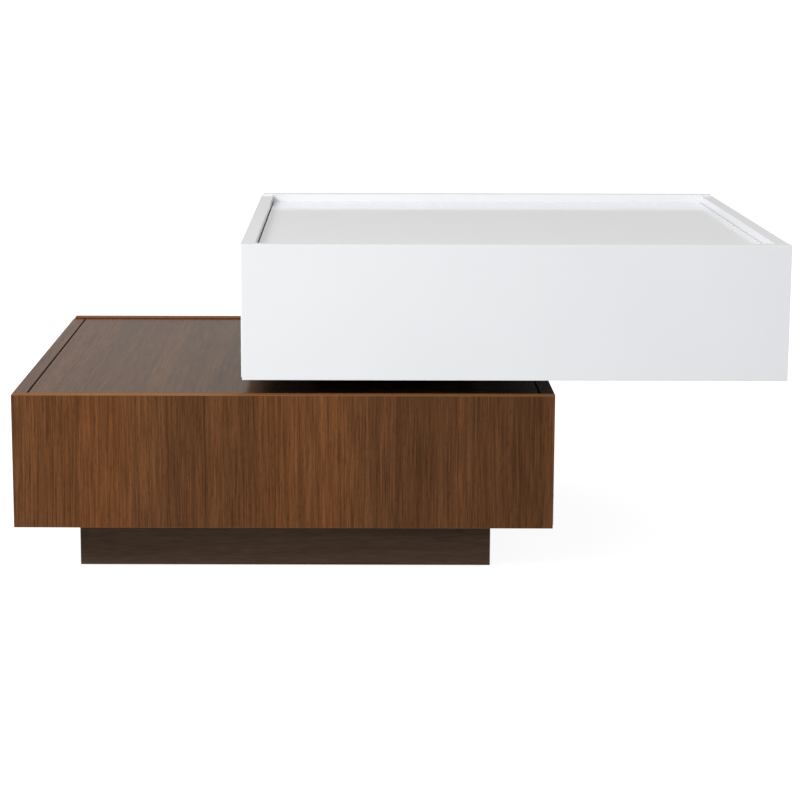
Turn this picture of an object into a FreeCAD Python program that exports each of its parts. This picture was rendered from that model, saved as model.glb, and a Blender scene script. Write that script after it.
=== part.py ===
import FreeCAD, Part
import math
import os

# Swivel coffee table: two equal boxes with a drawer each. The lower box stands on a set-back
# plinth, and the upper box turns above it on a ball bearing. Sizes are millimetres, +Z is up,
# +X runs along the table, and the drawers open towards -Y. The origin lies on the floor on the
# swivel axis, with the lower box to the left of it and the upper box swung out to the right.

# Boxes
box_width = 700.0             # over the two side panels
box_depth = 700.0             # face of the drawer front to face of the rear panel
panel_height = 174.0          # drawer fronts and rear panels
board = 18.0                  # thickness of every carcass board
box_gap = 20.0                # free height between the two boxes
pivot_offset = 148.0          # swivel axis to the middle of either box
panel_rise = 2.0              # fronts and rear panels stand this far above the side panels
end_reveal = 2.0              # fronts and rear panels stop this far short of the side faces
lower_slot = 2.5              # shadow slot between the lower top panel and a side panel
upper_slot = 1.2              # the same slot in the upper box
tray_recess = 10.0            # upper top panel below the rim of its side panels
grip_overhang = 15.0          # fronts hang this far below the bottom panel, as finger pull
edge_round = 1.0              # rounding of the banded board edges

# Plinth
plinth_height = 70.0          # floor to the lower edge of the lower drawer front
plinth_setback = 78.0
corner_block = 40.0
corner_block_height = 30.0
glide_diameter = 10.0         # against the inner face of the board, out of sight
glide_height = 1.0
glide_pin_diameter = 5.0
glide_pin_length = 12.0
glide_inset = 30.0            # from the ends of the plinth
glides_per_board = 3

# Cleats under the top panels
cleat_width = 12.0
cleat_height = 18.0
cleat_end_room = 30.0

# Swivel bearing
turntable_diameter = 230.0
plate_thickness = 3.0
plate_gap = 6.0
ball_diameter = 8.0
ball_inset = 20.0             # ball circle inside the rim of the turntable
ball_count = 24
cage_width = 20.0
cage_thickness = 2.0
bolt_diameter = 10.0
bolt_head_diameter = 26.0
bolt_head_height = 3.0
bolt_tail = 1.5               # bolt end that stands out of the nut
bush_wall = 2.0
bush_flange_diameter = 24.0
bush_flange_height = 2.0
nut_width = 16.0              # across the flats
nut_height = 9.0
nut_flange_diameter = 24.0
nut_flange_height = 1.5
swivel_screw_inset = 35.0     # screw circle inside the ball circle
swivel_screw_count = 6

# Drawers
drawer_board = 12.0
drawer_back_room = 104.0      # between the drawer and the rear panel
drawer_under_room = 3.0       # between the pivot bolt's head and the drawer
drawer_over_room = 5.0        # between the pivot bolt's tail and the drawer
drawer_bottom = 5.0
groove_depth = 6.0
groove_lift = 4.0             # groove above the drawer's lower edge
front_screw_inset = 100.0
bumper_diameter = 8.0
bumper_inset = 30.0           # from the upper and lower edge of the front

# Three-part drawer runners
runner_length = 450.0
runner_height = 45.0
runner_thickness = 12.7
runner_wall = 1.2
runner_setback = 2.0          # behind the front edge of the side panel
runner_lip_gap = 1.7          # from a flange tip to the next face
runner_head_room = 0.5        # over the screw heads
runner_screw_inset = 40.0
runner_screws = 3

# Fasteners
dowel_diameter = 8.0
dowel_in_face = 12.0
dowel_in_edge = 18.0
drawer_dowel_diameter = 6.0
drawer_dowel_in_face = 8.0
drawer_dowel_in_edge = 16.0
dowel_inset = 60.0
screw_diameter = 4.0
screw_head_diameter = 8.0
screw_head_height = 2.2
screw_bite = 12.0             # length of a wood screw in the second board
screw_tip = 3.0
pan_head_diameter = 7.0
pan_head_height = 1.8
pan_screw_bite = 10.0
drive_width = 0.9
drive_depth = 1.2

# Clearances
front_gap = 1.0               # drawer front to carcass, filled by the bumpers
running_clearance = 0.3
ball_clearance = 0.1
pocket_clearance = 0.2
bolt_clearance = 0.05
fastener_fit = 0.05
hole_end_room = 0.5
groove_fit = 0.3

X = FreeCAD.Vector(1, 0, 0)
Y = FreeCAD.Vector(0, 1, 0)
Z = FreeCAD.Vector(0, 0, 1)

# Levels and places that several pieces share
inner_half = box_width / 2 - board
panel_half = box_width / 2 - end_reveal
front_back = -box_depth / 2 + board
carcass_front = front_back + front_gap
rear_face = box_depth / 2 - board
lower_bottom = plinth_height
upper_bottom = lower_bottom + panel_height + box_gap
bearing_height = 2 * plate_thickness + plate_gap
pivot_head_room = bush_flange_height + bolt_head_height + drawer_under_room
pivot_tail_room = nut_flange_height + nut_height + bolt_tail + drawer_over_room
drawer_half = inner_half - runner_thickness
drawer_end = rear_face - drawer_back_room
runner_start = carcass_front + runner_setback
runner_end = runner_start + runner_length


class Box:
    """Levels and places of one of the two boxes."""

    def __init__(self, name, middle, bottom, recess, slot):
        self.name = name
        self.middle = middle
        self.bottom = bottom
        self.top = bottom + panel_height
        self.rim = self.top - panel_rise
        self.floor_under = bottom + grip_overhang
        self.floor_top = self.floor_under + board
        self.lid_top = self.rim - recess
        self.lid_under = self.lid_top - board
        self.lid_half = inner_half - slot
        self.drawer_low = self.floor_top + pivot_head_room
        self.drawer_high = self.lid_under - pivot_tail_room
        self.runner_level = (self.drawer_low + self.drawer_high) / 2
        self.groove_low = self.drawer_low + groove_lift
        self.groove_high = self.groove_low + drawer_bottom + groove_fit


lower = Box("lower", -pivot_offset, lower_bottom, 0.0, lower_slot)
upper = Box("upper", pivot_offset, upper_bottom, tray_recess, upper_slot)
bearing_middle = (lower.lid_top + upper.floor_under) / 2
lower_plate_top = bearing_middle - plate_gap / 2
upper_plate_under = bearing_middle + plate_gap / 2
sides = (("left", -1), ("right", 1))


def block(x_range, y_range, z_range):
    """A plain block between two places on each axis, in either order."""
    low = [min(pair) for pair in (x_range, y_range, z_range)]
    high = [max(pair) for pair in (x_range, y_range, z_range)]
    size = [b - a for a, b in zip(low, high)]
    return Part.makeBox(size[0], size[1], size[2], FreeCAD.Vector(*low))


def banded_board(x_range, y_range, z_range):
    """A board whose edges are rounded by their banding."""
    plain = block(x_range, y_range, z_range)
    return plain.makeFillet(min(edge_round, plain.BoundBox.YLength / 3), plain.Edges)


def turned(outline, point, direction):
    """A solid of revolution from pairs of radius and height along a direction."""
    corners = [FreeCAD.Vector(radius, 0, height) for radius, height in outline]
    profile = Part.Face(Part.makePolygon(corners + corners[:1]))
    solid = profile.revolve(FreeCAD.Vector(0, 0, 0), Z, 360)
    solid.Placement = FreeCAD.Placement(point, FreeCAD.Rotation(Z, direction))
    return solid


def disc(radius, low, high):
    """A disc about the swivel axis between two levels."""
    return Part.makeCylinder(radius, high - low, FreeCAD.Vector(0, 0, low))


def spaced(start, end, count, inset):
    """Evenly spaced places between two ends, each end inset."""
    step = (end - start - 2 * inset) / (count - 1)
    return [start + inset + step * index for index in range(count)]


def dowel(point, direction, diameter, in_face, in_edge):
    """A dowel across a joint, and the hole for it. The direction leads into the board's edge."""
    def pin(extra, room):
        start = point - direction * (in_face + room)
        return Part.makeCylinder(diameter / 2 + extra, in_face + in_edge + 2 * room, start, direction)

    return pin(0.0, 0.0), pin(fastener_fit, hole_end_room)


def drive_recess(point, direction):
    """The cross recess in a screw head."""
    reach = pan_head_diameter / 4
    bar = block((-reach, reach), (-drive_width / 2, drive_width / 2), (0, drive_depth))
    cross = bar.fuse(bar.rotated(FreeCAD.Vector(0, 0, 0), Z, 90))
    cross.Placement = FreeCAD.Placement(point, FreeCAD.Rotation(Z, direction))
    return cross


def flush_screw(point, direction, length):
    """A countersunk wood screw whose head lies flush at the point, and the hole for it."""
    def shape(extra, room):
        shank = screw_diameter / 2 + extra
        head = screw_head_diameter / 2 + extra
        return turned([(0, 0), (head, 0), (shank, screw_head_height), (shank, length - screw_tip + room),
                       (0, length + room)], point, direction)

    return shape(0.0, 0.0).cut(drive_recess(point, direction)), shape(fastener_fit, hole_end_room)


def pan_screw(point, direction, wall):
    """A pan-head screw that holds a runner's wall against a board, and the hole for it."""
    head_top = point - direction * (wall + pan_head_height)
    seat = pan_head_height
    end = pan_head_height + wall + pan_screw_bite

    def shank(extra, room):
        return [(screw_diameter / 2 + extra, end - screw_tip + room), (0, end + room)]

    head = [(0, 0), (pan_head_diameter / 2, 0), (pan_head_diameter / 2, seat), (screw_diameter / 2, seat)]
    solid = turned(head + shank(0.0, 0.0), head_top, direction)
    hole = turned([(0, seat), (screw_diameter / 2 + fastener_fit, seat)] + shank(fastener_fit, hole_end_room),
                  head_top, direction)
    return solid.cut(drive_recess(head_top, direction)), hole


def drilled(solid, holes):
    """A solid with the holes of its fasteners cut out."""
    return solid.cut(Part.makeCompound(holes)).removeSplitter()


def keep(name, solids):
    """Write one node from its solids."""
    pieces = [single for shape in solids for single in shape.Solids]
    shape = pieces[0] if len(pieces) == 1 else Part.makeCompound(pieces)
    shape.exportStep("parts/" + name + ".step")


def from_middle(box, sign, near, far):
    """The stretch along X between two distances from the middle of a box, on one side of it."""
    return (box.middle + sign * near, box.middle + sign * far)


def plinth():
    """Four boards on edge, glued corner blocks with their screws, and the floor glides."""
    half_x = box_width / 2 - plinth_setback
    half_y = box_depth / 2 - plinth_setback
    levels = (glide_height, lower.floor_under)
    ends = (lower.middle - half_x, lower.middle + half_x)
    glides = []
    glide_holes = []
    for sign in (-1, 1):
        for place in spaced(ends[0], ends[1], glides_per_board, glide_inset):
            foot = FreeCAD.Vector(place, sign * (half_y - board + glide_diameter / 2), 0)
            top = glide_height + glide_pin_length
            glides.append(turned([(0, 0), (glide_diameter / 2, 0), (glide_diameter / 2, glide_height),
                                  (glide_pin_diameter / 2, glide_height), (glide_pin_diameter / 2, top),
                                  (0, top)], foot, Z))
            glide_holes.append(Part.makeCylinder(glide_pin_diameter / 2 + fastener_fit, top + hole_end_room,
                                                 foot))
    keep("floor_glides", glides)
    for name, sign in (("front", -1), ("rear", 1)):
        strip = banded_board(ends, (sign * half_y, sign * (half_y - board)), levels)
        keep("plinth_" + name, [drilled(strip, glide_holes)])
    for name, sign in sides:
        strip = block(from_middle(lower, sign, half_x, half_x - board),
                      (board - half_y, half_y - board), levels)
        keep("plinth_" + name, [strip])
    blocks = []
    screws = []
    holes = []
    for x_sign in (-1, 1):
        for y_sign in (-1, 1):
            near_x = half_x - board
            near_y = half_y - board
            blocks.append(block(from_middle(lower, x_sign, near_x, near_x - corner_block),
                                (y_sign * near_y, y_sign * (near_y - corner_block)),
                                (lower.floor_under - corner_block_height, lower.floor_under)))
            foot = FreeCAD.Vector(lower.middle + x_sign * (near_x - corner_block / 2),
                                  y_sign * (near_y - corner_block / 2), lower.floor_under - corner_block_height)
            screw, hole = flush_screw(foot, Z, corner_block_height + screw_bite)
            screws.append(screw)
            holes.append(hole)
    keep("plinth_corner_blocks", [drilled(piece, holes) for piece in blocks])
    keep("plinth_screws", screws)
    return holes


def swivel():
    """Spacer discs, bearing plates, ball cage, balls and the pivot bolt with its bush and nut."""
    rim = turntable_diameter / 2
    ball_circle = rim - ball_inset
    bolt = bolt_diameter / 2
    bush = bolt + bolt_clearance + bush_wall
    groove = Part.makeTorus(ball_circle, ball_diameter / 2 + ball_clearance,
                            FreeCAD.Vector(0, 0, bearing_middle))
    bolt_hole = disc(bolt + fastener_fit, lower.bottom, upper.top)
    bush_hole = disc(bush + fastener_fit, lower.bottom, upper.top)
    plate_levels = {
        lower: (lower_plate_top, lower_plate_top - plate_thickness, lower.lid_top, -Z, bolt_hole),
        upper: (upper_plate_under, upper_plate_under + plate_thickness, upper.floor_under, Z, bush_hole),
    }
    holes = {}
    for box, (face, back, seat, inward, bore) in plate_levels.items():
        screws = []
        screw_holes = []
        radius = ball_circle - swivel_screw_inset
        for index in range(swivel_screw_count):
            turn = 2 * math.pi * index / swivel_screw_count
            point = FreeCAD.Vector(radius * math.cos(turn), radius * math.sin(turn), face)
            screw, hole = flush_screw(point, inward, abs(seat - face) + screw_bite)
            screws.append(screw)
            screw_holes.append(hole)
        plate = disc(rim, min(face, back), max(face, back))
        spacer = disc(rim, min(back, seat), max(back, seat))
        keep("swivel_" + box.name + "_plate", [drilled(plate, [bore, groove] + screw_holes)])
        keep("swivel_" + box.name + "_spacer", [drilled(spacer, [bore] + screw_holes)])
        keep("swivel_" + box.name + "_screws", screws)
        holes[box] = [bore] + screw_holes
    balls = []
    pockets = []
    for index in range(ball_count):
        turn = 2 * math.pi * index / ball_count
        point = FreeCAD.Vector(ball_circle * math.cos(turn), ball_circle * math.sin(turn), bearing_middle)
        balls.append(Part.makeSphere(ball_diameter / 2, point))
        pockets.append(Part.makeCylinder(ball_diameter / 2 + pocket_clearance, cage_thickness,
                                         point - Z * (cage_thickness / 2)))
    cage = disc(ball_circle + cage_width / 2, bearing_middle - cage_thickness / 2,
                bearing_middle + cage_thickness / 2)
    cage = cage.cut(disc(ball_circle - cage_width / 2, lower.bottom, upper.top))
    keep("swivel_ball_cage", [drilled(cage, pockets)])
    keep("swivel_balls", balls)
    flange_top = upper.floor_top + bush_flange_height
    sleeve = disc(bush, upper_plate_under, upper.floor_top)
    flange = disc(bush_flange_diameter / 2, upper.floor_top, flange_top)
    keep("swivel_bush", [sleeve.fuse(flange).cut(disc(bolt + bolt_clearance, lower.bottom, upper.top))
                         .removeSplitter()])
    nut_low = lower.lid_under - nut_flange_height - nut_height
    shank = disc(bolt, nut_low - bolt_tail, flange_top)
    head = disc(bolt_head_diameter / 2, flange_top, flange_top + bolt_head_height)
    keep("swivel_pivot_bolt", [shank.fuse(head).removeSplitter()])
    corner = nut_width / 2 / math.cos(math.pi / 6)
    hexagon = [FreeCAD.Vector(corner * math.cos(math.pi * side / 3), corner * math.sin(math.pi * side / 3),
                              nut_low) for side in range(6)]
    nut = Part.Face(Part.makePolygon(hexagon + hexagon[:1])).extrude(Z * nut_height)
    nut = nut.fuse(disc(nut_flange_diameter / 2, lower.lid_under - nut_flange_height, lower.lid_under))
    keep("swivel_pivot_nut", [nut.cut(bolt_hole).removeSplitter()])
    return holes


def channel(box, sign, near, far, half, open_near):
    """One runner member: a channel that is open towards its near or its far side."""
    outside = block(from_middle(box, sign, inner_half - near, inner_half - far), (runner_start, runner_end),
                    (box.runner_level - half, box.runner_level + half))
    inside_near = near if open_near else near + runner_wall
    inside_far = far - runner_wall if open_near else far
    inside = block(from_middle(box, sign, inner_half - inside_near, inner_half - inside_far),
                   (runner_start, runner_end),
                   (box.runner_level - half + runner_wall, box.runner_level + half - runner_wall))
    return outside.cut(inside)


def runners(box):
    """The outer, middle and inner members on both sides, with the screws of outer and inner."""
    outer_half = runner_height / 2
    middle_half = outer_half - runner_wall - running_clearance
    inner_half_height = middle_half - runner_wall - running_clearance
    middle_near = runner_wall + pan_head_height + runner_head_room
    inner_near = middle_near + runner_wall + running_clearance
    outer_far = runner_thickness - runner_wall - runner_lip_gap
    members = {"outer": [], "middle": [], "inner": []}
    outer_screws = []
    outer_holes = []
    inner_screws = []
    inner_holes = []
    for name, sign in sides:
        members["outer"].append(channel(box, sign, 0.0, outer_far, outer_half, False))
        members["middle"].append(channel(box, sign, middle_near, runner_thickness - runner_lip_gap,
                                         middle_half, False))
        members["inner"].append(channel(box, sign, inner_near, runner_thickness, inner_half_height, True))
        for place in spaced(runner_start, runner_end, runner_screws, runner_screw_inset):
            wall_face = FreeCAD.Vector(box.middle + sign * inner_half, place, box.runner_level)
            screw, hole = pan_screw(wall_face, X * sign, runner_wall)
            outer_screws.append(screw)
            outer_holes.append(hole)
            drawer_face = FreeCAD.Vector(box.middle + sign * drawer_half, place, box.runner_level)
            screw, hole = pan_screw(drawer_face, X * -sign, runner_wall)
            inner_screws.append(screw)
            inner_holes.append(hole)
    keep(box.name + "_runner_outer_members", [drilled(piece, outer_holes) for piece in members["outer"]])
    keep(box.name + "_runner_middle_members", members["middle"])
    keep(box.name + "_runner_inner_members", [drilled(piece, inner_holes) for piece in members["inner"]])
    return outer_screws, outer_holes, inner_screws, inner_holes


def carcass(box, swivel_holes, floor_holes, runner_screws_made, runner_holes):
    """Side, rear, bottom and top panels, cleats, dowels and screws of one box."""
    dowels = []
    holes = []
    screws = []
    floor_level = (box.floor_under + box.floor_top) / 2
    cleat_level = box.lid_under - cleat_height / 2
    cleat_ends = (carcass_front + cleat_end_room, rear_face - cleat_end_room)
    cleats = []
    for name, sign in sides:
        joint = box.middle + sign * inner_half
        for place in spaced(carcass_front, rear_face, 3, dowel_inset):
            pin, hole = dowel(FreeCAD.Vector(joint, place, floor_level), X * -sign, dowel_diameter,
                              dowel_in_face, dowel_in_edge)
            dowels.append(pin)
            holes.append(hole)
        for level in spaced(box.bottom, box.rim, 2, panel_height / 4):
            point = FreeCAD.Vector(joint + sign * board / 2, rear_face, level)
            pin, hole = dowel(point, -Y, dowel_diameter, dowel_in_face, dowel_in_edge)
            dowels.append(pin)
            holes.append(hole)
        cleats.append(block(from_middle(box, sign, inner_half, inner_half - cleat_width), cleat_ends,
                            (box.lid_under - cleat_height, box.lid_under)))
        for place in spaced(cleat_ends[0], cleat_ends[1], 3, dowel_inset):
            face = FreeCAD.Vector(joint - sign * cleat_width, place, cleat_level)
            screw, hole = flush_screw(face, X * sign, cleat_width + screw_bite)
            screws.append(screw)
            holes.append(hole)
        for place in spaced(cleat_ends[0], cleat_ends[1], 2, 2 * dowel_inset):
            foot = FreeCAD.Vector(joint - sign * cleat_width / 2, place, box.lid_under - cleat_height)
            screw, hole = flush_screw(foot, Z, cleat_height + screw_bite)
            screws.append(screw)
            holes.append(hole)
    side_holes = holes + runner_holes
    for name, sign in sides:
        panel = banded_board(from_middle(box, sign, inner_half, box_width / 2), (carcass_front, rear_face),
                             (box.bottom, box.rim))
        keep(box.name + "_" + name + "_side", [drilled(panel, side_holes)])
    rear = banded_board(from_middle(box, 1, -panel_half, panel_half), (rear_face, box_depth / 2),
                        (box.bottom, box.top))
    keep(box.name + "_rear_panel", [drilled(rear, holes)])
    floor = banded_board(from_middle(box, 1, -inner_half, inner_half), (carcass_front, rear_face),
                         (box.floor_under, box.floor_top))
    keep(box.name + "_bottom_panel", [drilled(floor, holes + floor_holes)])
    lid = banded_board(from_middle(box, 1, -box.lid_half, box.lid_half), (carcass_front, rear_face),
                       (box.lid_under, box.lid_top))
    keep(box.name + "_top_panel", [drilled(lid, holes + swivel_holes)])
    keep(box.name + "_top_cleats", [drilled(cleat, holes) for cleat in cleats])
    keep(box.name + "_dowels", dowels)
    keep(box.name + "_carcass_screws", screws + runner_screws_made)


def drawer(box, runner_screws_made, runner_holes):
    """Front, inner front, sides, back and bottom of one drawer with its fasteners and bumpers."""
    levels = (box.drawer_low, box.drawer_high)
    clear_levels = spaced(box.groove_high, box.drawer_high, 2, (box.drawer_high - box.groove_high) / 4)
    inside = drawer_half - drawer_board
    groove_half = inside + groove_depth
    groove_front = front_back + drawer_board - groove_depth
    groove_rear = drawer_end - drawer_board + groove_depth
    groove = block(from_middle(box, 1, -groove_half, groove_half), (groove_front, groove_rear),
                   (box.groove_low, box.groove_high))
    base_half = groove_half - groove_fit
    base = block(from_middle(box, 1, -base_half, base_half),
                 (groove_front + groove_fit, groove_rear - groove_fit),
                 (box.groove_low, box.groove_low + drawer_bottom))
    dowels = []
    holes = []
    for name, sign in sides:
        for place in (front_back + drawer_board / 2, drawer_end - drawer_board / 2):
            for level in clear_levels:
                joint = FreeCAD.Vector(box.middle + sign * inside, place, level)
                pin, hole = dowel(joint, X * -sign, drawer_dowel_diameter, drawer_dowel_in_face,
                                  drawer_dowel_in_edge)
                dowels.append(pin)
                holes.append(hole)
    screws = []
    for place in spaced(box.middle - inside, box.middle + inside, 2, front_screw_inset):
        for level in clear_levels:
            point = FreeCAD.Vector(place, front_back + drawer_board, level)
            screw, hole = flush_screw(point, -Y, drawer_board + screw_bite)
            screws.append(screw)
            holes.append(hole)
    bumpers = []
    for name, sign in sides:
        for level in spaced(box.bottom, box.top, 2, bumper_inset):
            spot = FreeCAD.Vector(box.middle + sign * (inner_half + board / 2), front_back, level)
            bumpers.append(Part.makeCylinder(bumper_diameter / 2, front_gap, spot, Y))
        flank = block(from_middle(box, sign, inside, drawer_half), (front_back, drawer_end), levels)
        keep(box.name + "_drawer_" + name + "_side", [drilled(flank, [groove] + holes + runner_holes)])
    front = banded_board(from_middle(box, 1, -panel_half, panel_half), (-box_depth / 2, front_back),
                         (box.bottom, box.top))
    keep(box.name + "_drawer_front", [drilled(front, holes)])
    across = from_middle(box, 1, -inside, inside)
    inner_front = block(across, (front_back, front_back + drawer_board), levels)
    keep(box.name + "_drawer_inner_front", [drilled(inner_front, [groove] + holes)])
    back = block(across, (drawer_end - drawer_board, drawer_end), levels)
    keep(box.name + "_drawer_back", [drilled(back, [groove] + holes)])
    keep(box.name + "_drawer_bottom", [base])
    keep(box.name + "_drawer_dowels", dowels)
    keep(box.name + "_drawer_screws", screws + runner_screws_made)
    keep(box.name + "_drawer_bumpers", bumpers)


os.makedirs("parts", exist_ok=True)
plinth_holes = plinth()
bearing_holes = swivel()
for table_box in (lower, upper):
    fixed_screws, fixed_holes, drawer_screws, drawer_holes = runners(table_box)
    lid_holes = bearing_holes[lower] if table_box is lower else []
    bottom_holes = plinth_holes if table_box is lower else bearing_holes[upper]
    carcass(table_box, lid_holes, bottom_holes, fixed_screws, fixed_holes)
    drawer(table_box, drawer_screws, drawer_holes)
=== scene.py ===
import logging
import math
from dataclasses import dataclass
from enum import Enum
from typing import Any, ClassVar

import bpy
from mathutils import Matrix, Vector


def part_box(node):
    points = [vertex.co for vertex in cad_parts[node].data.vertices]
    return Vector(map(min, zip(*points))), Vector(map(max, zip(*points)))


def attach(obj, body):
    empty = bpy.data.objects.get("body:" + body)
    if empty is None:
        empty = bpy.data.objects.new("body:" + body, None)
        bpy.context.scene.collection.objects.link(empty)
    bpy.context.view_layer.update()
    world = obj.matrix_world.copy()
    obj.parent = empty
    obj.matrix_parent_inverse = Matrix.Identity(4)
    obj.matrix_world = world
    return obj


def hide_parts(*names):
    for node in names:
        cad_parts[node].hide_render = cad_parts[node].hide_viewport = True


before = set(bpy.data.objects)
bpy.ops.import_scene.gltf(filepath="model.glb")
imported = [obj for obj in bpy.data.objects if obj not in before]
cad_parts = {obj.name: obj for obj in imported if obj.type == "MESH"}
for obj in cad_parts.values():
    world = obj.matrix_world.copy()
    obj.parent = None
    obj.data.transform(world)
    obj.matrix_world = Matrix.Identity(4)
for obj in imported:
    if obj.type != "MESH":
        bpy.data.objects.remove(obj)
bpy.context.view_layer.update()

LOG = logging.getLogger("swivel_table")
MM = 0.001
# Resin and varnish over wood reflect with a trace of yellow.
VARNISH_TINT = "#FBFFEE"
# The noise texture keeps mostly to this range.
NOISE_LOW = 0.3
NOISE_MIDDLE = 0.5
NOISE_HIGH = 0.7
# Numbers of the colour sockets of a Mix node.
MIX_SHARE = 0
MIX_FIRST = 6
MIX_SECOND = 7
MIX_RESULT = 2
# A face lies square to an axis from this share of its normal on.
SQUARE_NORMAL = 0.99
# Points nearer to each other than this are one.
MERGE_MM = 0.01


# Small helpers

def srgb(colour: str) -> tuple[float, float, float, float]:
    """Turns an sRGB hex colour into linear light.

    Args:
        colour: The colour as "#RRGGBB".

    Returns:
        Red, green and blue as linear values, and an alpha of 1.
    """
    # The numbers are those of the sRGB standard.
    parts = [int(colour[i:i + 2], 16) / 255.0 for i in (1, 3, 5)]
    linear = [p / 12.92 if p <= 0.04045 else ((p + 0.055) / 1.055) ** 2.4 for p in parts]
    return linear[0], linear[1], linear[2], 1.0


def add_node(tree: bpy.types.NodeTree, kind: str, settings: dict[str, Any] | None = None,
             inputs: dict[str | int, Any] | None = None) -> bpy.types.Node:
    """Adds one shader node with its settings, values and links.

    Args:
        tree: The node tree that gets the node.
        kind: The node's type name.
        settings: Properties of the node itself.
        inputs: For each input, by name or number, a value or the output that feeds it.

    Returns:
        The new node.
    """
    node = tree.nodes.new(kind)
    for name, value in (settings or {}).items():
        setattr(node, name, value)
    for name, value in (inputs or {}).items():
        if isinstance(value, bpy.types.NodeSocket):
            tree.links.new(value, node.inputs[name])
        else:
            node.inputs[name].default_value = value
    return node


class Axis(Enum):
    """An axis of the table's frame, such as the one that a board's grain follows."""

    LENGTH = 0
    DEPTH = 1
    HEIGHT = 2


# Finishes

@dataclass(frozen=True)
class Finish:
    """A surface finish with a material of its own.

    Attributes:
        name: The material's name, after the real material.
    """

    name: str

    def paint(self, tree: bpy.types.NodeTree, shader: bpy.types.Node) -> None:
        """Adds the finish's nodes; each kind of finish has its own.

        Args:
            tree: The material's node tree.
            shader: Its Principled shader.
        """
        raise NotImplementedError

    def material(self) -> bpy.types.Material:
        """Gives the finish's material, which the first call makes.

        Returns:
            The material.
        """
        found = bpy.data.materials.get(self.name)
        if found is None:
            found = bpy.data.materials.new(self.name)
            found.use_nodes = True
            self.paint(found.node_tree, found.node_tree.nodes["Principled BSDF"])
        return found


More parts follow.
